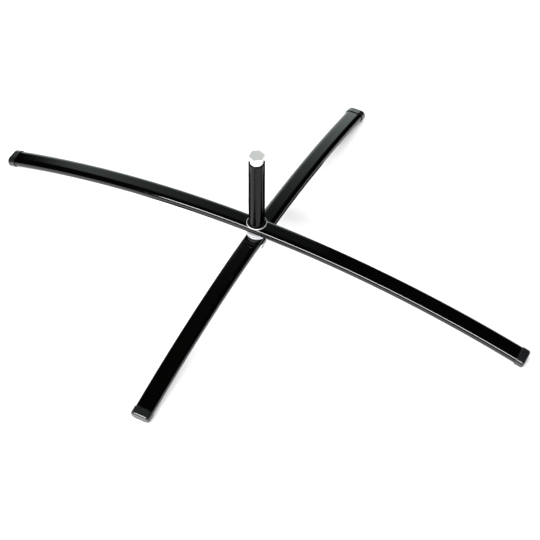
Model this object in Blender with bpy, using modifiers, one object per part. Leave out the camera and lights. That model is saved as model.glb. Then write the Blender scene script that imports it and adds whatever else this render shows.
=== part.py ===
"""Folding cross base with a turning centre spindle.

Two bowed flat-oval tubes cross on one hex bolt.  The shorter arm lies below the longer one, so
the base folds flat by turning the upper arm until it nests over the lower arm.  A round sleeve on
nylon bushes turns freely on the bolt and takes the foot of an upright tube.

Frame: metres, +Z up, origin on the floor under the bolt, +X along the upper arm and +Y along the
lower arm.
"""
import bmesh
import bpy
from math import asin, cos, pi, radians, sin
from mathutils import Matrix, Vector

# ---- driving dimensions -------------------------------------------------------------------------
GAP = 0.0003                     # clearance between pieces that touch or slide

TUBE_WIDTH = 0.030               # flat-oval furniture tube
TUBE_HEIGHT = 0.015
TUBE_WALL = 0.0015

UPPER_HALF_SPAN = 0.4570         # pivot to the end of the arm, along its underside chord
UPPER_PIVOT_HEIGHT = 0.0646      # floor to the arm's underside at the pivot
LOWER_HALF_SPAN = 0.3643
LOWER_PIVOT_HEIGHT = 0.0426

CAP_PROUD = 0.0013               # cap's outside beyond the tube's outside
CAP_SKIRT = 0.0110               # length of tube held in the cap
CAP_END = 0.0030                 # thickness of the cap's closed end
CAP_EDGE = 0.0008                # rounding of the cap's edges
FOOT_CUT = 0.0008                # depth of the flat foot under each cap

SHANK_RADIUS = 0.0070            # M14 bolt
HEAD_ACROSS_FLATS = 0.0220
HEAD_HEIGHT = 0.0088
HEAD_TURN = radians(5)           # how the head happens to point, from a corner at +Y
NUT_HEX_HEIGHT = 0.0110
NUT_COLLAR_HEIGHT = 0.0030
NUT_COLLAR_RADIUS = 0.0101
INSERT_RADIUS = 0.0088
BOLT_TAIL = 0.0025               # thread showing below the nut

WASHER_RADIUS = 0.0160
WASHER_HEIGHT = 0.0022
DISC_RADIUS = 0.0150
BOTTOM_WASHER_RADIUS = 0.0150
BOTTOM_WASHER_HEIGHT = 0.0025
SEAT_HEIGHT = 0.0017             # seat washer, at its rim
REGISTER_RADIUS = 0.0128         # raised middle of the seat washer, which centres the upright
REGISTER_HEIGHT = 0.0005
WASHER_CHAMFER = 0.0003
CRUSH_TUBE_RADIUS = 0.0088       # no wider than the tube's flat inner sides allow

SLEEVE_RADIUS = 0.0127
SLEEVE_BORE = 0.0095
SLEEVE_LENGTH = 0.1300
SLEEVE_EDGE = 0.0004
BUSH_SPIGOT = 0.0150
BUSH_FLANGE_RADIUS = 0.0100
BUSH_FLANGE_HEIGHT = 0.0054

TURN_STEPS = 32                  # facets round a turned piece
ROUND_STEPS = 8                  # facets along each rounded side of the flat-oval tube
BOW_STEPS = 26                   # straight steps along a bowed arm
SHARP_ANGLE = radians(50)        # edges sharper than this stay crisp
MERGE = 0.00001

# ---- heights that follow from the stack on the bolt ---------------------------------------------
BORE_RADIUS = SHANK_RADIUS + GAP
LOWER_TOP = LOWER_PIVOT_HEIGHT + TUBE_HEIGHT
UPPER_TOP = UPPER_PIVOT_HEIGHT + TUBE_HEIGHT
LOWER_WASHER_BASE = LOWER_TOP + GAP
UPPER_WASHER_BASE = UPPER_PIVOT_HEIGHT - GAP - WASHER_HEIGHT
DISC_BASE = LOWER_WASHER_BASE + WASHER_HEIGHT + GAP
DISC_TOP = UPPER_WASHER_BASE - GAP
SEAT_BASE = UPPER_TOP + GAP
SEAT_TOP = SEAT_BASE + SEAT_HEIGHT
SLEEVE_BASE = SEAT_TOP + REGISTER_HEIGHT + GAP
SLEEVE_TOP = SLEEVE_BASE + SLEEVE_LENGTH
FLANGE_BASE = SLEEVE_TOP + GAP
FLANGE_TOP = FLANGE_BASE + BUSH_FLANGE_HEIGHT
HEAD_BASE = FLANGE_TOP + GAP
HEAD_TOP = HEAD_BASE + HEAD_HEIGHT
BOTTOM_WASHER_TOP = LOWER_PIVOT_HEIGHT - GAP
BOTTOM_WASHER_BASE = BOTTOM_WASHER_TOP - BOTTOM_WASHER_HEIGHT
NUT_TOP = BOTTOM_WASHER_BASE - GAP
NUT_COLLAR_TOP = NUT_TOP - NUT_HEX_HEIGHT
NUT_BASE = NUT_COLLAR_TOP - NUT_COLLAR_HEIGHT
BOLT_END = NUT_BASE - BOLT_TAIL


# ---- scene and materials ------------------------------------------------------------------------
def clear_scene():
    for old in list(bpy.data.objects):
        bpy.data.objects.remove(old, do_unlink=True)


def new_collection(name):
    collection = bpy.data.collections.new(name)
    bpy.context.scene.collection.children.link(collection)
    return collection


def principled(name, colour, roughness, metallic=0.0):
    material = bpy.data.materials.new(name)
    material.use_nodes = True
    shader = material.node_tree.nodes["Principled BSDF"]
    shader.inputs["Base Color"].default_value = (*colour, 1.0)
    shader.inputs["Roughness"].default_value = roughness
    shader.inputs["Metallic"].default_value = metallic
    material.diffuse_color = (*colour, 1.0)
    return material


clear_scene()
PARTS = new_collection("folding_cross_base")
CUTTERS = new_collection("cutters")

BLACK_COAT = principled("black_coat", (0.012, 0.012, 0.012), 0.22)
BLACK_PLASTIC = principled("black_plastic", (0.02, 0.02, 0.02), 0.55)
ZINC = principled("zinc_plate", (0.78, 0.79, 0.80), 0.25, 1.0)
CHROME = principled("bright_plate", (0.85, 0.86, 0.86), 0.15, 1.0)
WHITE_NYLON = principled("white_nylon", (0.85, 0.85, 0.82), 0.45)


# ---- building helpers ---------------------------------------------------------------------------
def place(obj, collection, material=None, parent=None):
    """Put an object in its collection; a cutter, which has no material, shows as wire only."""
    collection.objects.link(obj)
    obj.parent = parent
    if material is None:
        obj.hide_render = True
        obj.display_type = "WIRE"
    else:
        obj.data.materials.append(material)
    return obj


def empty(name, turn=0.0):
    """A guide on the bolt's axis, which carries the pieces that move together."""
    guide = bpy.data.objects.new(name, None)
    guide.rotation_euler = (0.0, 0.0, turn)
    return place(guide, CUTTERS)


def mesh_of_curve(name, curve):
    """The mesh that a curve makes, with its loose caps welded on."""
    guide = bpy.data.objects.new(name + "_curve", curve)
    CUTTERS.objects.link(guide)
    depsgraph = bpy.context.evaluated_depsgraph_get()
    mesh = bpy.data.meshes.new_from_object(guide.evaluated_get(depsgraph))
    mesh.name = name
    bpy.data.objects.remove(guide, do_unlink=True)
    work = bmesh.new()
    work.from_mesh(mesh)
    bmesh.ops.remove_doubles(work, verts=work.verts, dist=MERGE)
    bmesh.ops.recalc_face_normals(work, faces=work.faces)
    work.to_mesh(mesh)
    work.free()
    mesh.shade_smooth()
    mesh.set_sharp_from_angle(angle=SHARP_ANGLE)
    return mesh


def oval_curve(name, width, height):
    """A closed flat oval: two straight sides joined by two half circles."""
    radius = height / 2
    straight = width / 2 - radius
    points = []
    for side in (1, -1):
        for step in range(ROUND_STEPS + 1):
            angle = pi * step / ROUND_STEPS - pi / 2
            points.append((side * (straight + radius * cos(angle)), side * radius * sin(angle)))
    curve = bpy.data.curves.new(name, "CURVE")
    curve.dimensions = "2D"
    spline = curve.splines.new("POLY")
    spline.points.add(len(points) - 1)
    for point, (x, y) in zip(spline.points, points):
        point.co = (x, y, 0.0, 1.0)
    spline.use_cyclic_u = True
    return curve


def oval_block(name, width, height, length):
    """A flat-oval bar along Z, centred on the origin."""
    curve = oval_curve(name, width, height)
    curve.fill_mode = "BOTH"
    curve.extrude = length / 2
    return bpy.data.objects.new(name, mesh_of_curve(name, curve))


def turned(name, profile):
    """A piece turned about Z: its profile of (radius, height) runs down the outer side."""
    mesh = bpy.data.meshes.new(name)
    points = [(radius, 0.0, height) for radius, height in profile]
    edges = [(i, i + 1) for i in range(len(points) - 1)]
    if profile[0][0] > 0:
        edges.append((len(points) - 1, 0))
    mesh.from_pydata(points, edges, [])
    obj = bpy.data.objects.new(name, mesh)
    screw = obj.modifiers.new("turn", "SCREW")
    screw.axis = "Z"
    screw.angle = 2 * pi
    screw.steps = TURN_STEPS
    screw.render_steps = TURN_STEPS
    screw.use_merge_vertices = True
    screw.merge_threshold = MERGE
    return obj


def ring_profile(bore, radius, base, top, chamfer):
    """A plain ring, chamfered at its two outer edges."""
    return [
        (bore, top),
        (radius - chamfer, top),
        (radius, top - chamfer),
        (radius, base + chamfer),
        (radius - chamfer, base),
        (bore, base),
    ]


def rod_profile(radius, base, top):
    """A plain rod on the axis, for cutting holes."""
    return [(0.0, top), (radius, top), (radius, base), (0.0, base)]


def hex_prism(name, across_flats, base, top, turn):
    mesh = bpy.data.meshes.new(name)
    work = bmesh.new()
    radius = across_flats / 2 / cos(pi / 6)
    bmesh.ops.create_cone(work, cap_ends=True, segments=6, radius1=radius, radius2=radius,
                          depth=top - base)
    work.to_mesh(mesh)
    work.free()
    obj = bpy.data.objects.new(name, mesh)
    obj.location = (0.0, 0.0, (top + base) / 2)
    obj.rotation_euler = (0.0, 0.0, turn)
    return obj


def combine(obj, operation, other):
    boolean = obj.modifiers.new(operation.lower(), "BOOLEAN")
    boolean.operation = operation
    boolean.solver = "EXACT"
    boolean.object = other


def bevel(obj, width, segments=2):
    rounding = obj.modifiers.new("edges", "BEVEL")
    rounding.width = width
    rounding.segments = segments
    rounding.limit_method = "ANGLE"
    rounding.angle_limit = SHARP_ANGLE


# ---- bowed arms and their caps ------------------------------------------------------------------
class Bow:
    """The circular arc that one arm's underside follows, in the arm's own X-Z plane."""

    def __init__(self, half_span, pivot_height):
        # The foot of a cap lies below the tube, so the arc starts a little above the floor.
        lift = CAP_PROUD - FOOT_CUT
        rise = pivot_height - lift
        self.radius = (half_span ** 2 + rise ** 2) / (2 * rise)
        self.centre_height = pivot_height - self.radius
        self.end_angle = asin(half_span / self.radius)
        self.mid_radius = self.radius + TUBE_HEIGHT / 2

    def at(self, angle):
        """A point on the tube's centre line."""
        return self.mid_radius * sin(angle), self.centre_height + self.mid_radius * cos(angle)


def bowed_tube(name, bow, material, parent):
    """A flat-oval tube swept along the bow, open at both ends and drilled for the bolt."""
    outline = oval_curve(name + "_section", TUBE_WIDTH, TUBE_HEIGHT)
    section = place(bpy.data.objects.new(outline.name, outline), CUTTERS)
    path = bpy.data.curves.new(name, "CURVE")
    path.dimensions = "3D"
    path.twist_mode = "Z_UP"
    path.bevel_mode = "OBJECT"
    path.bevel_object = section
    reach = bow.end_angle - CAP_END / bow.mid_radius
    spline = path.splines.new("POLY")
    spline.points.add(BOW_STEPS)
    for step, point in enumerate(spline.points):
        x, z = bow.at(reach * (2 * step / BOW_STEPS - 1))
        point.co = (x, 0.0, z, 1.0)
    tube = place(bpy.data.objects.new(name, mesh_of_curve(name, path)), PARTS, material, parent)
    wall = tube.modifiers.new("wall", "SOLIDIFY")
    wall.thickness = TUBE_WALL
    wall.offset = -1.0
    wall.use_even_offset = True
    combine(tube, "DIFFERENCE", BOLT_HOLE)
    return tube


def end_cap(name, bow, side, material, parent):
    """A push-on cap: a flat-oval cup that lines up with the tube's end, with a flat foot."""
    length = CAP_SKIRT + CAP_END
    angle = bow.end_angle - length / 2 / bow.mid_radius
    x, z = bow.at(angle)
    across = Vector((0.0, side, 0.0))
    upward = Vector((side * sin(angle), 0.0, cos(angle)))
    outward = Vector((side * cos(angle), 0.0, -sin(angle)))
    turn = Matrix((across, upward, outward)).transposed().to_4x4()
    cap = oval_block(name, TUBE_WIDTH + 2 * CAP_PROUD, TUBE_HEIGHT + 2 * CAP_PROUD, length)
    place(cap, PARTS, material, parent)
    cap.matrix_basis = Matrix.Translation((side * x, 0.0, z)) @ turn
    socket_name = name + "_socket"
    socket = oval_block(socket_name, TUBE_WIDTH + 2 * GAP, TUBE_HEIGHT + 2 * GAP, length)
    place(socket, CUTTERS, parent=cap)
    socket.location = (0.0, 0.0, GAP - CAP_END)
    bevel(cap, CAP_EDGE)
    combine(cap, "DIFFERENCE", socket)
    combine(cap, "DIFFERENCE", FLOOR)
    return cap


def crush_tube(name, pivot_height, parent):
    """A spacer inside a tube, so that the bolt can't squeeze the tube flat."""
    base = pivot_height + TUBE_WALL + GAP
    top = pivot_height + TUBE_HEIGHT - TUBE_WALL - GAP
    spacer = turned(name, ring_profile(BORE_RADIUS, CRUSH_TUBE_RADIUS, base, top, WASHER_CHAMFER))
    return place(spacer, PARTS, ZINC, parent)


def washer(name, radius, base, height, material, parent):
    profile = ring_profile(BORE_RADIUS, radius, base, base + height, WASHER_CHAMFER)
    return place(turned(name, profile), PARTS, material, parent)


# ---- the bolt and what turns on it --------------------------------------------------------------
def pivot_bolt(parent):
    """Hex bolt through the whole stack, head up, with a chamfered head and tip."""
    tip = 0.0012
    bolt = turned("pivot_bolt", [
        (0.0, HEAD_BASE + HEAD_HEIGHT / 2),
        (SHANK_RADIUS, HEAD_BASE + HEAD_HEIGHT / 2),
        (SHANK_RADIUS, BOLT_END + tip),
        (SHANK_RADIUS - tip, BOLT_END),
        (0.0, BOLT_END),
    ])
    place(bolt, PARTS, CHROME, parent)
    head = hex_prism("bolt_head_blank", HEAD_ACROSS_FLATS, HEAD_BASE, HEAD_TOP, HEAD_TURN)
    place(head, CUTTERS)
    combine(head, "INTERSECT", chamfer_blank("bolt_head_chamfer", HEAD_BASE, HEAD_TOP))
    combine(bolt, "UNION", head)
    return bolt


def chamfer_blank(name, base, top):
    """The cone-topped disc that, crossed with a hexagon, leaves its corners chamfered."""
    slope = 0.5                                     # height lost per unit of radius
    inner = HEAD_ACROSS_FLATS / 2 * 0.97
    outer = HEAD_ACROSS_FLATS * 0.6
    fall = (outer - inner) * slope
    margin = 0.001
    blank = turned(name, [
        (0.0, top),
        (inner, top),
        (outer, top - fall),
        (outer, base - margin),
        (0.0, base - margin),
    ])
    return place(blank, CUTTERS)


def lock_nut(parent):
    """Hex lock nut, collar down, with a recess in the collar for its nylon insert."""
    nut = hex_prism("lock_nut", HEAD_ACROSS_FLATS, NUT_COLLAR_TOP, NUT_TOP, HEAD_TURN)
    place(nut, PARTS, ZINC, parent)
    collar = turned("nut_collar", [
        (0.0, NUT_COLLAR_TOP + 0.001),
        (NUT_COLLAR_RADIUS, NUT_COLLAR_TOP + 0.001),
        (NUT_COLLAR_RADIUS, NUT_BASE + 0.0006),
        (NUT_COLLAR_RADIUS - 0.0006, NUT_BASE),
        (0.0, NUT_BASE),
    ])
    combine(nut, "UNION", place(collar, CUTTERS))
    recess = turned("insert_recess", rod_profile(INSERT_RADIUS + GAP, NUT_BASE - 0.001,
                                                 NUT_COLLAR_TOP))
    combine(nut, "DIFFERENCE", place(recess, CUTTERS))
    thread = turned("nut_thread", rod_profile(BORE_RADIUS, NUT_BASE - 0.002, NUT_TOP + 0.001))
    combine(nut, "DIFFERENCE", place(thread, CUTTERS))
    return nut


def nut_insert(parent):
    """Nylon ring in the lock nut's collar, which keeps the nut where it is set."""
    profile = ring_profile(BORE_RADIUS, INSERT_RADIUS, NUT_BASE + GAP, NUT_COLLAR_TOP - GAP, GAP)
    return place(turned("nut_insert", profile), PARTS, WHITE_NYLON, parent)


def seat_washer(parent):
    """Washer on the upper arm: the upright's foot rests on its rim, round a raised register."""
    seat = turned("seat_washer", [
        (BORE_RADIUS, SEAT_TOP + REGISTER_HEIGHT),
        (REGISTER_RADIUS, SEAT_TOP + REGISTER_HEIGHT),
        (REGISTER_RADIUS, SEAT_TOP),
        (WASHER_RADIUS - WASHER_CHAMFER, SEAT_TOP),
        (WASHER_RADIUS, SEAT_TOP - WASHER_CHAMFER),
        (WASHER_RADIUS, SEAT_BASE + WASHER_CHAMFER),
        (WASHER_RADIUS - WASHER_CHAMFER, SEAT_BASE),
        (BORE_RADIUS, SEAT_BASE),
    ])
    return place(seat, PARTS, ZINC, parent)


def spindle_sleeve(parent):
    profile = ring_profile(SLEEVE_BORE, SLEEVE_RADIUS, SLEEVE_BASE, SLEEVE_TOP, SLEEVE_EDGE)
    return place(turned("spindle_sleeve", profile), PARTS, BLACK_COAT, parent)


def upper_bush(parent):
    """Flanged bush: its spigot fills the sleeve's bore and its flange carries the bolt head."""
    spigot_radius = SLEEVE_BORE - GAP
    bush = turned("upper_bush", [
        (BORE_RADIUS, FLANGE_TOP),
        (BUSH_FLANGE_RADIUS - GAP, FLANGE_TOP),
        (BUSH_FLANGE_RADIUS, FLANGE_TOP - GAP),
        (BUSH_FLANGE_RADIUS, FLANGE_BASE),
        (spigot_radius, FLANGE_BASE),
        (spigot_radius, FLANGE_BASE - BUSH_SPIGOT),
        (BORE_RADIUS, FLANGE_BASE - BUSH_SPIGOT),
    ])
    return place(bush, PARTS, WHITE_NYLON, parent)


def lower_bush(parent):
    """Plain bush, flush with the foot of the sleeve."""
    profile = ring_profile(BORE_RADIUS, SLEEVE_BORE - GAP, SLEEVE_BASE,
                           SLEEVE_BASE + BUSH_SPIGOT, GAP)
    return place(turned("lower_bush", profile), PARTS, WHITE_NYLON, parent)


# ---- assembly -----------------------------------------------------------------------------------
def floor_cutter():
    """The space below the floor, which gives every cap its flat foot."""
    depth = 0.02
    mesh = bpy.data.meshes.new("floor_cutter")
    work = bmesh.new()
    bmesh.ops.create_cube(work, size=1.0)
    bmesh.ops.scale(work, vec=(1.0, 1.0, depth), verts=work.verts)
    work.to_mesh(mesh)
    work.free()
    cutter = bpy.data.objects.new("floor_cutter", mesh)
    cutter.location = (0.0, 0.0, -depth / 2)
    return place(cutter, CUTTERS)


FLOOR = floor_cutter()
BOLT_HOLE = place(turned("bolt_hole", rod_profile(BORE_RADIUS, 0.0, 0.1)), CUTTERS)

PIVOT = empty("pivot_axis")                             # what the bolt clamps
UPPER_FRAME = empty("upper_arm_frame")                  # turns about the bolt to fold
LOWER_FRAME = empty("lower_arm_frame", turn=pi / 2)
SPINDLE_FRAME = empty("spindle_frame")                  # turns freely on the bolt

UPPER_BOW = Bow(UPPER_HALF_SPAN, UPPER_PIVOT_HEIGHT)
LOWER_BOW = Bow(LOWER_HALF_SPAN, LOWER_PIVOT_HEIGHT)

bowed_tube("upper_arm", UPPER_BOW, BLACK_COAT, UPPER_FRAME)
end_cap("upper_cap_right", UPPER_BOW, 1, BLACK_PLASTIC, UPPER_FRAME)
end_cap("upper_cap_left", UPPER_BOW, -1, BLACK_PLASTIC, UPPER_FRAME)
crush_tube("upper_crush_tube", UPPER_PIVOT_HEIGHT, UPPER_FRAME)
washer("arm_washer_upper", WASHER_RADIUS, UPPER_WASHER_BASE, WASHER_HEIGHT, ZINC, UPPER_FRAME)

bowed_tube("lower_arm", LOWER_BOW, BLACK_COAT, LOWER_FRAME)
end_cap("lower_cap_far", LOWER_BOW, 1, BLACK_PLASTIC, LOWER_FRAME)
end_cap("lower_cap_near", LOWER_BOW, -1, BLACK_PLASTIC, LOWER_FRAME)
crush_tube("lower_crush_tube", LOWER_PIVOT_HEIGHT, LOWER_FRAME)
washer("arm_washer_lower", WASHER_RADIUS, LOWER_WASHER_BASE, WASHER_HEIGHT, ZINC, LOWER_FRAME)

washer("friction_disc", DISC_RADIUS, DISC_BASE, DISC_TOP - DISC_BASE, BLACK_PLASTIC, PIVOT)
washer("bottom_washer", BOTTOM_WASHER_RADIUS, BOTTOM_WASHER_BASE, BOTTOM_WASHER_HEIGHT, ZINC, PIVOT)
seat_washer(PIVOT)
pivot_bolt(PIVOT)
lock_nut(PIVOT)
nut_insert(PIVOT)

spindle_sleeve(SPINDLE_FRAME)
upper_bush(SPINDLE_FRAME)
lower_bush(SPINDLE_FRAME)
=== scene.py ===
"""Looks of the folding cross base: fine meshes, finishes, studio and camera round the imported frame."""

from math import atan2, ceil, cos, pi, radians, sin, tan

import bmesh
import bpy
from mathutils import Matrix, Vector


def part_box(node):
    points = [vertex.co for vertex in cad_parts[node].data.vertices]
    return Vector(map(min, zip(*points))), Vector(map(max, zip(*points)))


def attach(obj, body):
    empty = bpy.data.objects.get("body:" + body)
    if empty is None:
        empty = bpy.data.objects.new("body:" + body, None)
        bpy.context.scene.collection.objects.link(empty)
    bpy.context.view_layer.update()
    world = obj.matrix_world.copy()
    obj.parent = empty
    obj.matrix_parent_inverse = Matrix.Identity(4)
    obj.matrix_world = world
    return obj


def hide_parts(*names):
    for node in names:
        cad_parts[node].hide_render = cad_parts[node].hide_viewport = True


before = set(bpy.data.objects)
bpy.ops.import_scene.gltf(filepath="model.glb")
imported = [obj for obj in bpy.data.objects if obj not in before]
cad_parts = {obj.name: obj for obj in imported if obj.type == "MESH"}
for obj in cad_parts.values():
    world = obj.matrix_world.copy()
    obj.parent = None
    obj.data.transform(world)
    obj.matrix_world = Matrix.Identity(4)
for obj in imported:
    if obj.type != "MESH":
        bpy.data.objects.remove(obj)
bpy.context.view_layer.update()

MM = 0.001
TUBE_WALL = 1.5 * MM
BOLT_RADIUS = 7.0 * MM
BORE_RADIUS = BOLT_RADIUS + 0.3 * MM
SLEEVE_BORE = 9.5 * MM               # radius
HEX_FLATS = 22.0 * MM                # across flats, of the bolt head and the nut
HEX_TURN = radians(35.0)             # from +X to a corner of either


# ---- places read from the frame -----------------------------------------------------------------
def span(node):
    """Lowest and highest corner of a CAD node, as vectors."""
    low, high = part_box(node)
    return Vector(low), Vector(high)


def heights(node):
    """Underside and top of a CAD node."""
    low, high = span(node)
    return low.z, high.z


def outer_radius(node):
    """Radius of a turned node on the bolt's axis."""
    low, high = span(node)
    return max(high.x - low.x, high.y - low.y) / 2


# ---- mesh helpers -------------------------------------------------------------------------------
def link(name, data):
    """An object for a mesh, lamp or camera, in the scene."""
    made = bpy.data.objects.new(name, data)
    bpy.context.scene.collection.objects.link(made)
    return made


def skin(name, verts, faces):
    """A mesh object from points and faces, with its normals made consistent."""
    mesh = bpy.data.meshes.new(name)
    mesh.from_pydata([tuple(v) for v in verts], [], faces)
    work = bmesh.new()
    work.from_mesh(mesh)
    bmesh.ops.recalc_face_normals(work, faces=work.faces)
    work.to_mesh(mesh)
    work.free()
    return link(name, mesh)


def finish_mesh(node, shape, material, body, sharp=35):
    """The fine piece that stands for a CAD node, shaded smooth between its hard edges."""
    piece = skin(node + "_fine", *shape)
    piece.data.shade_smooth()
    piece.data.set_sharp_from_angle(angle=radians(sharp))
    piece.data.materials.append(material)
    weighted = piece.modifiers.new("flat_sides_stay_flat", "WEIGHTED_NORMAL")
    weighted.keep_sharp = True
    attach(piece, body)
    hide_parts(node)
    return piece


def loft(rings, closed=False):
    """Points and faces of a skin over equal rings; closed joins the last ring to the first."""
    count = len(rings[0])
    verts = [point for ring in rings for point in ring]
    faces = []
    for i in range(len(rings) if closed else len(rings) - 1):
        a = i * count
        b = (i + 1) % len(rings) * count
        for j in range(count):
            k = (j + 1) % count
            faces.append((a + j, a + k, b + k, b + j))
    if not closed:
        faces.append(tuple(range(count)))
        faces.append(tuple(range(len(verts) - count, len(verts))))
    return verts, faces


def fillet(corners, steps=4):
    """A profile of (radius, height, rounding) corners, with each rounded corner as an arc."""
    outline = []
    count = len(corners)
    for i, (x, z, rounding) in enumerate(corners):
        here = Vector((x, z))
        if rounding <= 0:
            outline.append(here)
            continue
        before = (Vector(corners[i - 1][:2]) - here).normalized()
        after = (Vector(corners[(i + 1) % count][:2]) - here).normalized()
        half = before.angle(after) / 2
        reach = rounding / tan(half)
        middle = here + (before + after).normalized() * (rounding / sin(half))
        start = here + before * reach - middle
        end = here + after * reach - middle
        for step in range(steps + 1):
            outline.append(middle + start.slerp(end, step / steps).normalized() * rounding)
    return outline


def turned_rings(profile, steps=96):
    """Each (radius, height) point of a profile, turned into a ring round the bolt's axis."""
    turns = [2 * pi * step / steps for step in range(steps)]
    return [[Vector((radius * cos(turn), radius * sin(turn), z)) for turn in turns]
            for radius, z in profile]


def turned_piece(node, corners, material, body):
    """A piece turned from a closed profile of (radius, height, rounding) corners."""
    finish_mesh(node, loft(turned_rings(fillet(corners)), closed=True), material, body)


def turned_ring(node, bore, edge, inner_edge, material, body):
    """A plain ring such as a washer or sleeve, its outer and inner edges rounded."""
    low, high = heights(node)
    radius = outer_radius(node)
    corners = [
        (bore, high, inner_edge),
        (radius, high, edge),
        (radius, low, edge),
        (bore, low, inner_edge),
    ]
    turned_piece(node, corners, material, body)


# ---- bowed tubes --------------------------------------------------------------------------------
class Bow:
    """The arc of one arm, worked out from its CAD node's box; side 0 is X and side 1 is Y."""

    def __init__(self, node, side):
        low, high = span(node)
        self.side = side
        self.width = high[1 - side] - low[1 - side]
        self.height = self.width / 2
        self.top = high.z
        reach = high[side]
        drop = high.z - self.height - low.z
        radius = reach ** 2 / (2 * drop)
        # Both the reach of the tube's top edge and the drop of its underside fix the radius.
        for _ in range(40):
            half_angle = atan2(drop * (radius + self.height), radius * reach)
            radius = drop / (1 - cos(2 * half_angle))
        self.end_angle = 2 * half_angle
        self.middle = radius + self.height / 2
        self.centre_height = high.z - self.height - radius

    def frame_at(self, angle):
        """Point on the centre line, and the directions across, up and along the tube there."""
        along = Vector((cos(angle), 0.0, -sin(angle)))
        up = Vector((sin(angle), 0.0, cos(angle)))
        point = Vector((self.middle * sin(angle), 0.0, self.centre_height + self.middle * cos(angle)))
        across = Vector((0.0, 1.0, 0.0))
        if self.side == 1:
            quarter = Matrix.Rotation(pi / 2, 3, "Z")
            along, up, point, across = (quarter @ v for v in (along, up, point, across))
        return point, across, up, along

    def ring(self, angle, outline, shift=0.0):
        """The outline of (across, up) points, set square to the tube at an angle along the bow."""
        point, across, up, along = self.frame_at(angle)
        return [point + across * x + up * y + along * shift for x, y in outline]


def oval(width, height, round_steps=16, flat_steps=8):
    """Flat-oval outline, anticlockwise from the lower right: two flats joined by half circles."""
    radius = height / 2
    flat = width / 2 - radius
    points = []
    for side in (1, -1):
        for step in range(round_steps + 1):
            angle = pi * step / round_steps - pi / 2
            points.append((side * (flat + radius * cos(angle)), side * radius * sin(angle)))
        for step in range(1, flat_steps):
            points.append((side * flat * (1 - 2 * step / flat_steps), side * radius))
    return points


def bowed_tube(node, side, material, body, steps=120):
    """Hollow tube along the bow, drilled for the bolt; gives its bow."""
    bow = Bow(node, side)
    outside = oval(bow.width, bow.height)
    inside = oval(bow.width - 2 * TUBE_WALL, bow.height - 2 * TUBE_WALL)
    angles = [bow.end_angle * (2 * step / steps - 1) for step in range(steps + 1)]
    rings = [bow.ring(angle, outside) for angle in angles]
    rings += [bow.ring(angle, inside) for angle in reversed(angles)]
    tube = finish_mesh(node, loft(rings, closed=True), material, body)
    clear = 5.0 * MM                 # how far the drill passes both sides of the tube
    drill(tube, BORE_RADIUS, bow.top - bow.height - clear, bow.top + clear)
    return bow


def drill(piece, radius, low, high):
    """Cut a round hole on the bolt's axis and keep the result in the mesh."""
    tool = skin("drill", *loft(turned_rings([(radius, high), (radius, low)], steps=64)))
    cut = piece.modifiers.new("drill", "BOOLEAN")
    cut.operation = "DIFFERENCE"
    cut.solver = "EXACT"
    cut.object = tool
    piece.modifiers.move(len(piece.modifiers) - 1, 0)
    settle(piece, "drill")
    bpy.data.objects.remove(tool, do_unlink=True)


def settle(piece, modifier):
    """Apply one modifier of a piece."""
    for other in piece.modifiers:
        other.show_viewport = other.name == modifier
    depsgraph = bpy.context.evaluated_depsgraph_get()
    depsgraph.update()
    done = bpy.data.meshes.new_from_object(piece.evaluated_get(depsgraph))
    piece.modifiers.remove(piece.modifiers[modifier])
    old = piece.data
    piece.data = done
    bpy.data.meshes.remove(old)
    for other in piece.modifiers:
        other.show_viewport = True


# ---- end caps -----------------------------------------------------------------------------------
def end_cap(node, bow, direction, material, body):
    """Push-on cap: skirt with a lip, rounded end with a shallow dish, and a flat foot."""
    low, high = span(node)
    proud = (high[1 - bow.side] - low[1 - bow.side] - bow.width) / 2
    gap = 0.3 * MM                   # between the cap and the tube
    end = 3.0 * MM                   # closed end beyond the tube
    skirt = 11.0 * MM                # overlap with the tube
    round_out = 2.6 * MM             # radius of the two arcs that round the outer end
    bevel = 0.9 * MM                 # flat between those arcs, which catches the light
    bevel_turn = radians(31)         # its tilt from the skirt
    arc_steps = 5
    dish = 0.35 * MM                 # depth of the dish in the end face
    border = 0.8 * MM                # width of the raised border round the dish
    soft = 0.35 * MM                 # rounding of the lip
    core = -bow.height / 2 * 0.6     # where the inner and outer end faces start, inside the outline
    # Stations as (distance beyond the tube's end, how far outside the tube's own outline).
    stations = [(gap, core), (gap, gap), (-skirt + soft, gap)]
    stations += [(-skirt, gap + soft), (-skirt, proud - soft), (-skirt + soft, proud)]
    start = end - round_out - bevel * cos(bevel_turn)
    for flat, first, last in ((0.0, 0.0, bevel_turn), (bevel, bevel_turn, pi / 2)):
        for step in range(arc_steps + 1):
            angle = first + (last - first) * step / arc_steps
            beyond = start + round_out * sin(angle) + flat * cos(bevel_turn)
            drop = round_out * (1 - cos(angle)) + flat * sin(bevel_turn)
            stations.append((beyond, proud - drop))
    rim = proud - drop - border
    stations += [(end, rim), (end - dish * 0.5, rim - dish * 0.6), (end - dish, rim - dish * 1.6)]
    stations.append((end - dish, core))
    rings = []
    for beyond, outside in stations:
        outline = oval(bow.width + 2 * outside, bow.height + 2 * outside)
        rings.append(bow.ring(bow.end_angle * direction, outline, beyond * direction))
    verts, faces = loft(rings)
    for vert in verts:
        vert.z = max(vert.z, 0.0)
    finish_mesh(node, (verts, faces), material, body)


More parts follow.
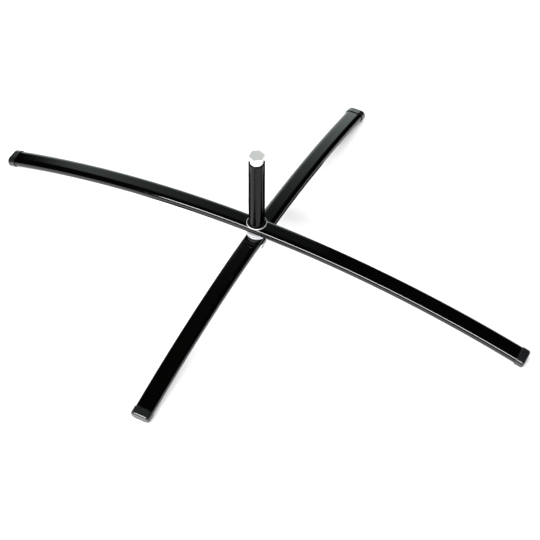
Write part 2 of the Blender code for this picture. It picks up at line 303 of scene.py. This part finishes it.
# ---- hardware on the bolt -----------------------------------------------------------------------
def hexagon(corner=0.5 * MM, flat_steps=14, corner_steps=4):
    """Outline of the bolt head or nut with slightly rounded corners, its sides divided evenly."""
    reach = (HEX_FLATS / 2 - corner) / cos(pi / 6)
    points = []
    for k in range(6):
        middle = HEX_TURN + k * pi / 3
        centre = Vector((reach * cos(middle), reach * sin(middle)))
        arc = []
        for step in range(corner_steps + 1):
            angle = middle - pi / 6 + pi / 3 * step / corner_steps
            arc.append(centre + Vector((cos(angle), sin(angle))) * corner)
        if points:
            points += divided(points[-1], arc[0], flat_steps)
        points += arc
    points += divided(points[-1], points[0], flat_steps)
    return points


def divided(start, end, steps):
    """The points that divide the way from start to end evenly, without either."""
    return [start.lerp(end, step / steps) for step in range(1, steps)]


def chamfered(outline, height, lift):
    """The outline at a height, its corners dropped lift times as far as a 30 degree chamfer would."""
    flat = HEX_FLATS / 2 * 0.965     # radius where the chamfer starts
    return [Vector((p.x, p.y, height - lift * max(0.0, p.length - flat) * tan(pi / 6))) for p in outline]


def circle_like(outline, radius, height):
    """A circle with one point for each point of the outline, in the same direction."""
    return [Vector((p.x, p.y, 0.0)) * (radius / p.length) + Vector((0, 0, height)) for p in outline]


def thread_rings(outline, low, high, pitch, depth, rings_per_pitch=10):
    """Rings of a right-hand thread on the bolt, from high to low, running out towards both ends."""
    steepness = 2.4                  # of the groove's flanks
    crest = 0.9                      # flat crest between the grooves
    rings = []
    steps = int(ceil((high - low) / (pitch / rings_per_pitch)))
    for step in range(steps + 1):
        z = high + (low - high) * step / steps
        fade = min(1.0, (high - z) / pitch, (z - low) / (pitch * 0.6))
        ring = []
        for p in outline:
            angle = atan2(p.y, p.x)
            phase = (z / pitch - angle / (2 * pi)) % 1.0
            groove = min(1.0, max(0.0, steepness * abs(2 * phase - 1) - crest)) * depth * fade
            radius = BOLT_RADIUS - groove
            ring.append(Vector((radius * cos(angle), radius * sin(angle), z)))
        rings.append(ring)
    return rings


def pivot_bolt(material):
    """Hex bolt: chamfered head, washer face, plain shank and a rolled thread below."""
    low, top = heights("pivot_bolt")
    base = top - 8.8 * MM            # underside of the head
    face = base + 0.4 * MM           # top of the washer face under it
    face_radius = HEX_FLATS / 2 * 0.95
    top_radius = HEX_FLATS / 2 * 0.985   # of the round flat on the head
    root = 0.5 * MM                  # slope between the head and the shank
    tip = 1.2 * MM                   # chamfer at the bolt's end
    thread = 32.0 * MM               # from the bolt's end to the top of its thread
    outline = hexagon()
    rings = [
        circle_like(outline, top_radius * 0.5, top),
        circle_like(outline, top_radius - 0.3 * MM, top),
        circle_like(outline, top_radius, top - 0.06 * MM),
        chamfered(outline, top - 0.16 * MM, 0.3),
        [Vector((p.x, p.y, face)) for p in outline],
        circle_like(outline, face_radius, face),
        circle_like(outline, face_radius, base),
        circle_like(outline, BOLT_RADIUS + root, base),
        circle_like(outline, BOLT_RADIUS, base - root),
    ]
    rings += thread_rings(outline, low + tip, low + thread, pitch=2.0 * MM, depth=1.1 * MM)
    rings.append(circle_like(outline, BOLT_RADIUS - tip, low))
    finish_mesh("pivot_bolt", loft(rings), material, "lower_bar", sharp=40)


def lock_nut(material):
    """Hex lock nut with chamfered corners and a collar rolled over its nylon ring."""
    base, top = heights("lock_nut")
    insert_high = heights("nut_insert")[1]
    insert_radius = outer_radius("nut_insert")
    hex_base = insert_high + 0.3 * MM
    collar = HEX_FLATS / 2 * 0.92
    shoulder = 0.9 * MM              # rounding of the collar
    arc_steps = 6
    lip = insert_radius - 0.9 * MM   # the collar's edge, rolled over the nylon ring
    recess = insert_radius + 0.3 * MM
    outline = hexagon()
    rings = [
        circle_like(outline, BORE_RADIUS, top - 0.8 * MM),
        circle_like(outline, BORE_RADIUS + 0.8 * MM, top),
        circle_like(outline, HEX_FLATS / 2 * 0.93, top),
        chamfered(outline, top - 0.1 * MM, 1.0),
        chamfered(outline, hex_base + 0.1 * MM, -1.0),
        circle_like(outline, collar, hex_base),
    ]
    for step in range(arc_steps + 1):
        angle = pi / 2 * step / arc_steps
        radius = collar - shoulder * (1 - cos(angle))
        rings.append(circle_like(outline, radius, base + shoulder * (1 - sin(angle))))
    rings += [
        circle_like(outline, lip + 0.2 * MM, base),
        circle_like(outline, lip, base + 0.15 * MM),
        circle_like(outline, lip + 0.1 * MM, base + 0.25 * MM),
        circle_like(outline, recess, base + 0.28 * MM),
        circle_like(outline, recess, insert_high + 0.1 * MM),
        circle_like(outline, BORE_RADIUS, insert_high + 0.2 * MM),
    ]
    finish_mesh("lock_nut", loft(rings, closed=True), material, "lower_bar")


def seat_washer(material):
    """Washer with a raised register for an upright's foot, rounded at its rim."""
    low, high = heights("seat_washer")
    rim = high - 0.5 * MM
    register = 12.8 * MM             # radius
    radius = outer_radius("seat_washer")
    corners = [
        (BORE_RADIUS, high, 0.2 * MM),
        (register, high, 0.2 * MM),
        (register, rim, 0.15 * MM),
        (radius, rim, 0.7 * MM),
        (radius, low, 0.3 * MM),
        (BORE_RADIUS, low, 0.2 * MM),
    ]
    turned_piece("seat_washer", corners, material, "lower_bar")


def upper_bush(material):
    """Flanged bush whose flange shows between the bolt head and the sleeve."""
    low, high = heights("upper_bush")
    shoulder = high - 5.4 * MM
    spigot = SLEEVE_BORE - 0.3 * MM
    corners = [
        (BORE_RADIUS, high, 0.2 * MM),
        (outer_radius("upper_bush"), high, 0.5 * MM),
        (outer_radius("upper_bush"), shoulder, 0.3 * MM),
        (spigot, shoulder, 0.0),
        (spigot, low, 0.5 * MM),
        (BORE_RADIUS, low, 0.3 * MM),
    ]
    turned_piece("upper_bush", corners, material, "spindle")


# ---- finishes -----------------------------------------------------------------------------------
class Nodes:
    """Short calls for building the nodes of a material or world."""

    def __init__(self, tree):
        self.tree = tree

    def node(self, kind, **settings):
        made = self.tree.nodes.new(kind)
        for key, value in settings.items():
            setattr(made, key, value)
        return made

    def feed(self, socket, value):
        """Link a socket to an output, or set it to a number, vector or colour."""
        if isinstance(value, bpy.types.NodeSocket):
            self.tree.links.new(value, socket)
        else:
            socket.default_value = value

    def feed_all(self, sockets, values):
        for socket, value in zip(sockets, values):
            self.feed(socket, value)

    def math(self, operation, *values):
        made = self.node("ShaderNodeMath", operation=operation)
        self.feed_all(made.inputs, values)
        return made.outputs["Value"]

    def vector(self, operation, *values, result="Vector"):
        made = self.node("ShaderNodeVectorMath", operation=operation)
        self.feed_all(made.inputs, values)
        return made.outputs[result]

    def remap(self, source, low, high, to_low=0.0, to_high=1.0, shape="LINEAR"):
        """From to_low where the source is low to to_high where it is high, and no further."""
        made = self.node("ShaderNodeMapRange", interpolation_type=shape)
        names = ("Value", "From Min", "From Max", "To Min", "To Max")
        self.feed_all([made.inputs[name] for name in names], (source, low, high, to_low, to_high))
        return made.outputs["Result"]

    def mix(self, data_type, factor, first, second):
        made = self.node("ShaderNodeMix", data_type=data_type)
        self.feed_all([made.inputs[name] for name in ("Factor", "A", "B")], (factor, first, second))
        return made.outputs["Result"]


def principled(name, colour, **constants):
    """A plain Principled material; constants are names of its sockets, with _ for a space."""
    material = bpy.data.materials.new(name)
    material.use_nodes = True
    shader = material.node_tree.nodes["Principled BSDF"]
    shader.inputs["Base Color"].default_value = (*colour, 1.0)
    for socket, value in constants.items():
        shader.inputs[socket.replace("_", " ")].default_value = value
    return material


class Finish(Nodes):
    """A Principled material whose colour, roughness and relief come from noise."""

    def __init__(self, name, colour, **constants):
        self.material = principled(name, colour, **constants)
        super().__init__(self.material.node_tree)
        self.sockets = self.tree.nodes["Principled BSDF"].inputs
        self.place = self.node("ShaderNodeTexCoord").outputs["Object"]
        self.relief = None

    def noise(self, per_metre, detail, stretch=(1.0, 1.0, 1.0)):
        """Noise with so many cells in a metre, from 0 to 1."""
        texture = self.node("ShaderNodeTexNoise")
        texture.inputs["Scale"].default_value = per_metre
        texture.inputs["Detail"].default_value = detail
        self.feed(texture.inputs["Vector"], self.vector("MULTIPLY", self.place, stretch))
        return texture.outputs["Fac"]

    def from_axis(self):
        """Distance from the bolt's axis."""
        level = self.vector("MULTIPLY", self.place, (1.0, 1.0, 0.0))
        return self.vector("LENGTH", level, result="Value")

    def tint(self, source, colour_low, colour_high):
        colour = self.mix("RGBA", source, (*colour_low, 1.0), (*colour_high, 1.0))
        self.feed(self.sockets["Base Color"], colour)

    def gloss(self, source):
        self.feed(self.sockets["Roughness"], source)

    def bump(self, source, height, strength):
        """Relief of a height in metres; each call adds to the ones before."""
        bump = self.node("ShaderNodeBump")
        bump.inputs["Distance"].default_value = height
        bump.inputs["Strength"].default_value = strength
        self.feed(bump.inputs["Height"], source)
        if self.relief is not None:
            self.feed(bump.inputs["Normal"], self.relief)
        self.relief = bump.outputs["Normal"]
        self.feed(self.sockets["Normal"], self.relief)


def black_coat(name, shine, gloss_low, gloss_high):
    """Glossy black powder coat: faint orange peel, dust nibs and rubbing near the bolt."""
    coat = Finish(name, (0.0006, 0.0006, 0.0006), Roughness=gloss_low, Specular_IOR_Level=shine)
    peel = coat.noise(420.0, detail=2.0)
    coat.bump(peel, 0.02 * MM, strength=0.3)
    nibs = coat.remap(coat.noise(900.0, detail=1.0), 0.74, 0.80)
    coat.bump(nibs, 0.05 * MM, strength=0.4)
    cloud = coat.noise(14.0, detail=4.0)
    coat.tint(cloud, (0.0002, 0.0002, 0.0002), (0.0009, 0.0008, 0.0007))
    haze = coat.remap(cloud, 0.35, 0.7, gloss_low, gloss_high)
    # Handling dulls the coat in patches near the bolt, from a little outside the seat washer inwards.
    rub = coat.remap(coat.from_axis(), 16.2 * MM, 24.0 * MM, to_low=0.16, to_high=0.0)
    rub = coat.math("MULTIPLY", rub, coat.noise(600.0, detail=4.0))
    coat.gloss(coat.math("ADD", haze, rub))
    return coat.material


def black_plastic():
    """Moulded cap plastic: fine spark-eroded grain and slightly uneven sheen."""
    plastic = Finish("black_plastic_fine", (0.004, 0.004, 0.004), Roughness=0.25,
                     Specular_IOR_Level=0.8)
    grain = plastic.noise(2600.0, detail=3.0)
    plastic.bump(grain, 0.01 * MM, strength=0.5)
    flow = plastic.noise(60.0, detail=4.0)
    plastic.tint(flow, (0.0045, 0.0048, 0.0050), (0.0070, 0.0075, 0.0080))
    plastic.gloss(plastic.remap(flow, 0.3, 0.7, 0.17, 0.25))
    return plastic.material


def plated(name, colour_low, colour_high, gloss_low, gloss_high, rings_height, metallic):
    """Plated steel with turning rings, small scratches and a clouded tint."""
    rings_apart = 0.35 * MM
    metal = Finish(name, colour_low, Roughness=gloss_low, Metallic=metallic)
    cloud = metal.noise(90.0, detail=4.0)
    metal.tint(cloud, colour_low, colour_high)
    rings = metal.math("SINE", metal.math("MULTIPLY", metal.from_axis(), 2 * pi / rings_apart))
    metal.bump(rings, rings_height, strength=0.5)
    scratches = metal.remap(metal.noise(700.0, detail=5.0, stretch=(1.0, 0.15, 1.0)), 0.62, 0.70)
    metal.bump(scratches, 0.012 * MM, strength=0.5)
    sheen = metal.remap(cloud, 0.3, 0.7, gloss_low, gloss_high)
    metal.gloss(metal.math("ADD", sheen, metal.math("MULTIPLY", scratches, 0.12)))
    return metal.material


def black_oxide(rim):
    """Blackened steel whose rim, from a radius outwards, is painted pale as a highlight."""
    metal = Finish("black_oxide_fine", (0.02, 0.02, 0.02), Roughness=0.2, Metallic=0.7)
    ragged = 0.15 * MM               # unevenness and softness of the edge of the painted highlight on the rim
    cloud = metal.noise(90.0, detail=4.0)
    rim_highlight_reach = metal.math("ADD", metal.from_axis(), metal.math("MULTIPLY", cloud, ragged))
    # The pale rim is a painted highlight that stands for the light the rim's edge mirrors.
    metal.tint(metal.remap(rim_highlight_reach, rim, rim + ragged), (0.012, 0.012, 0.012), (0.86, 0.89, 0.91))
    metal.bump(metal.noise(900.0, detail=2.0), 0.006 * MM, strength=0.4)
    metal.gloss(metal.remap(cloud, 0.3, 0.7, 0.16, 0.30))
    return metal.material


def nylon():
    """White nylon, slightly translucent and matt."""
    white = Finish("white_nylon_fine", (0.84, 0.84, 0.80), Roughness=0.4, Subsurface_Weight=0.15,
                   Subsurface_Scale=2.0 * MM)
    white.bump(white.noise(1800.0, detail=2.0), 0.02 * MM, strength=0.5)
    white.tint(white.noise(120.0, detail=3.0), (0.82, 0.82, 0.78), (0.88, 0.88, 0.85))
    white.gloss(white.remap(white.noise(300.0, detail=3.0), 0.3, 0.7, 0.34, 0.46))
    return white.material


def disc_plastic():
    """Self-lubricating black disc, greyer and duller than the caps."""
    disc = Finish("disc_plastic_fine", (0.02, 0.02, 0.02), Roughness=0.35)
    disc.bump(disc.noise(1500.0, detail=2.0), 0.02 * MM, strength=0.5)
    disc.tint(disc.noise(100.0, detail=3.0), (0.015, 0.015, 0.015), (0.03, 0.03, 0.03))
    disc.gloss(disc.remap(disc.noise(260.0, detail=3.0), 0.3, 0.7, 0.28, 0.42))
    return disc.material


# ---- the object ---------------------------------------------------------------------------------
COAT = black_coat("black_coat_fine", shine=0.5, gloss_low=0.05, gloss_high=0.09)
SLEEVE_COAT = black_coat("black_sleeve_fine", shine=0.15, gloss_low=0.03, gloss_high=0.05)
PLASTIC = black_plastic()
DISC = disc_plastic()
ZINC = plated("zinc_plate_fine", (0.74, 0.78, 0.82), (0.81, 0.83, 0.84), gloss_low=0.26,
              gloss_high=0.36, rings_height=0.001 * MM, metallic=0.55)
BRIGHT = plated("bright_plate_fine", (0.78, 0.80, 0.80), (0.84, 0.84, 0.81), gloss_low=0.42,
                gloss_high=0.52, rings_height=0.003 * MM, metallic=0.8)
NYLON = nylon()
OXIDE = black_oxide(outer_radius("seat_washer") - 0.8 * MM)

upper = bowed_tube("upper_arm", 0, COAT, "upper_bar")
lower = bowed_tube("lower_arm", 1, COAT, "lower_bar")
end_cap("upper_cap_right", upper, 1, PLASTIC, "upper_bar")
end_cap("upper_cap_left", upper, -1, PLASTIC, "upper_bar")
end_cap("lower_cap_far", lower, 1, PLASTIC, "lower_bar")
end_cap("lower_cap_near", lower, -1, PLASTIC, "lower_bar")

pivot_bolt(BRIGHT)
lock_nut(ZINC)
seat_washer(OXIDE)
for node, edge, finish, body, slot in (
    ("arm_washer_upper", 0.5 * MM, ZINC, "upper_bar", "zinc_plate"),
    ("arm_washer_lower", 0.5 * MM, ZINC, "lower_bar", "zinc_plate"),
    ("friction_disc", 0.3 * MM, DISC, "lower_bar", "black_plastic"),
    ("bottom_washer", 0.5 * MM, ZINC, "lower_bar", "zinc_plate"),
    ("nut_insert", 0.4 * MM, NYLON, "lower_bar", "white_nylon"),
):
    turned_ring(node, BORE_RADIUS, edge, 0.3 * MM, finish, body)
turned_ring("spindle_sleeve", SLEEVE_BORE, 0.7 * MM, 0.4 * MM, SLEEVE_COAT, "spindle")
upper_bush(NYLON)

# These three CAD nodes stay as they are, hidden inside the tubes and the sleeve.
for node, finish in (("upper_crush_tube", ZINC), ("lower_crush_tube", ZINC), ("lower_bush", NYLON)):
    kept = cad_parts[node]
    kept.data.materials.clear()
    kept.data.materials.append(finish)


# ---- floor, light and camera --------------------------------------------------------------------
CAMERA_ELEVATION = radians(48.62)
CAMERA_TURN = radians(27.27)         # the upper arm's angle from the picture's level
CAMERA_ROLL = radians(-0.46)
CAMERA_DISTANCE = 2.753
CAMERA_LENS = 115.6                  # on a 36 mm sensor
PIVOT_IN_VIEW = (-0.0210, -0.0207)   # metres right of and below the view's centre, at the floor

WALL_AZIMUTH = radians(185.5)
WALL_OUTER = radians(20.0)           # half the wall's width, to where its ends are dark
WALL_INNER = radians(14.0)           # and to where they start to darken
WALL_FOOT = radians(19.3)            # elevation up to which the wall is fully lit
WALL_TOP = radians(90.0)             # elevation where it is dark
WALL_FADE = 3.0                      # how sharply it fades between the two
WALL_LIGHT = 2.0
WALL_TINT = (0.86, 1.0, 0.97, 1.0)
ROOM_LIGHT = 0.003                   # of the rest of the room
BACKDROP = (1.0, 1.0, 1.0, 1.0)      # what the camera sees beyond the floor


def around(azimuth, elevation, distance):
    """A place round the pivot; azimuth 0 is the camera's side and turns to the picture's right."""
    turn = azimuth + CAMERA_TURN - pi / 2
    flat = distance * cos(elevation)
    return Vector((flat * cos(turn), flat * sin(turn), distance * sin(elevation)))


def make_camera():
    """The photo's camera, from its angles, distance and lens."""
    forward = -around(0.0, CAMERA_ELEVATION, 1.0)
    level = Vector((cos(CAMERA_TURN), sin(CAMERA_TURN), 0.0))
    below = forward.cross(level)
    right = level * cos(CAMERA_ROLL) + below * sin(CAMERA_ROLL)
    down = below * cos(CAMERA_ROLL) - level * sin(CAMERA_ROLL)
    data = bpy.data.cameras.new("camera")
    data.lens = CAMERA_LENS
    data.sensor_width = 36.0
    data.clip_end = 100.0
    camera = link("camera", data)
    place = -forward * CAMERA_DISTANCE - right * PIVOT_IN_VIEW[0] - down * PIVOT_IN_VIEW[1]
    axes = Matrix((right, -down, -forward)).transposed().to_4x4()
    camera.matrix_world = Matrix.Translation(place) @ axes
    bpy.context.scene.camera = camera


def make_floor():
    """A pale matt disc, wide enough to fill the view."""
    mesh = bpy.data.meshes.new("floor")
    work = bmesh.new()
    bmesh.ops.create_circle(work, cap_ends=True, segments=96, radius=40.0)
    work.to_mesh(mesh)
    work.free()
    mesh.materials.append(principled("floor_white", (0.8, 0.8, 0.8), Roughness=0.9,
                                     Specular_IOR_Level=0.1))
    floor = link("floor", mesh)


def black_card(name, azimuth, near, far, width):
    """Black card lying behind the object, there only to darken what the glossy coat mirrors."""
    low = around(radians(azimuth), 0.0, near)
    along = around(radians(azimuth), 0.0, far) - low
    across = around(radians(azimuth + 90), 0.0, width / 2)
    lift = Vector((0.0, 0.0, 0.5 * MM))
    corners = [low - across, low + across, low + across + along, low - across + along]
    mesh = bpy.data.meshes.new(name)
    mesh.from_pydata([tuple(corner + lift) for corner in corners], [], [(0, 1, 2, 3)])
    mesh.materials.append(principled(name, (0.003, 0.003, 0.003), Roughness=1.0,
                                     Specular_IOR_Level=0.0))
    card = link(name, mesh)
    card.visible_camera = False
    card.visible_diffuse = False
    card.visible_shadow = False
    card.visible_transmission = False


def make_lamp(name, kind, azimuth, elevation, distance, **settings):
    """A lamp aimed at the pivot from a direction."""
    data = bpy.data.lights.new(name, kind)
    for key, value in settings.items():
        setattr(data, key, value)
    direction = around(radians(azimuth), radians(elevation), 1.0)
    lamp = link(name, data)
    lamp.location = direction * distance
    lamp.rotation_euler = direction.to_track_quat("Z", "Y").to_euler()
    return lamp


def softbox(name, azimuth, elevation, distance, width, height, power):
    """A rectangular lamp, wider than high, which the glossy pieces mirror."""
    make_lamp(name, "AREA", azimuth, elevation, distance, shape="RECTANGLE", size=width, size_y=height,
              energy=power)


def sun(name, azimuth, elevation, strength, spread):
    """Even light from a wide patch of sky, which the glossy pieces don't mirror."""
    lamp = make_lamp(name, "SUN", azimuth, elevation, 0.0, energy=strength, angle=radians(spread))
    lamp.visible_glossy = False


def wall_light(world, direction):
    """The pale wall: bright at its foot, fading upwards, with soft ends."""
    rise = world.vector("DOT_PRODUCT", direction, Vector((0.0, 0.0, 1.0)), result="Value")
    fade = world.math("POWER", world.remap(rise, sin(WALL_TOP), sin(WALL_FOOT)), WALL_FADE)
    level = world.vector("NORMALIZE", world.vector("MULTIPLY", direction, Vector((1.0, 1.0, 0.0))))
    towards = world.vector("DOT_PRODUCT", level, around(WALL_AZIMUTH, 0.0, 1.0), result="Value")
    ends = world.remap(towards, cos(WALL_OUTER), cos(WALL_INNER), shape="SMOOTHSTEP")
    return world.math("MULTIPLY", world.math("MULTIPLY", fade, ends), WALL_LIGHT)


def make_world():
    """A dark room with one pale wall, seen only by reflections; the camera sees a white backdrop."""
    studio = bpy.data.worlds.new("studio")
    bpy.context.scene.world = studio
    studio.use_nodes = True
    world = Nodes(studio.node_tree)
    direction = world.node("ShaderNodeTexCoord").outputs["Generated"]
    seen = world.node("ShaderNodeLightPath").outputs["Is Camera Ray"]
    strength = world.math("ADD", wall_light(world, direction), ROOM_LIGHT)
    background = world.tree.nodes["Background"].inputs
    world.feed(background["Strength"], world.mix("FLOAT", seen, strength, 1.0))
    world.feed(background["Color"], world.mix("RGBA", seen, WALL_TINT, BACKDROP))


make_camera()
make_floor()
make_world()
black_card("card", azimuth=180, near=0.0, far=0.2, width=0.4)
softbox("key", azimuth=-34, elevation=35, distance=3.5, width=3.4, height=0.6, power=183)
sun("fill_left", azimuth=-60, elevation=60, strength=1.5, spread=90)
sun("fill_top", azimuth=0, elevation=89, strength=3.7, spread=170)

view = bpy.context.scene.view_settings
view.view_transform = "Standard"
view.look = "None"
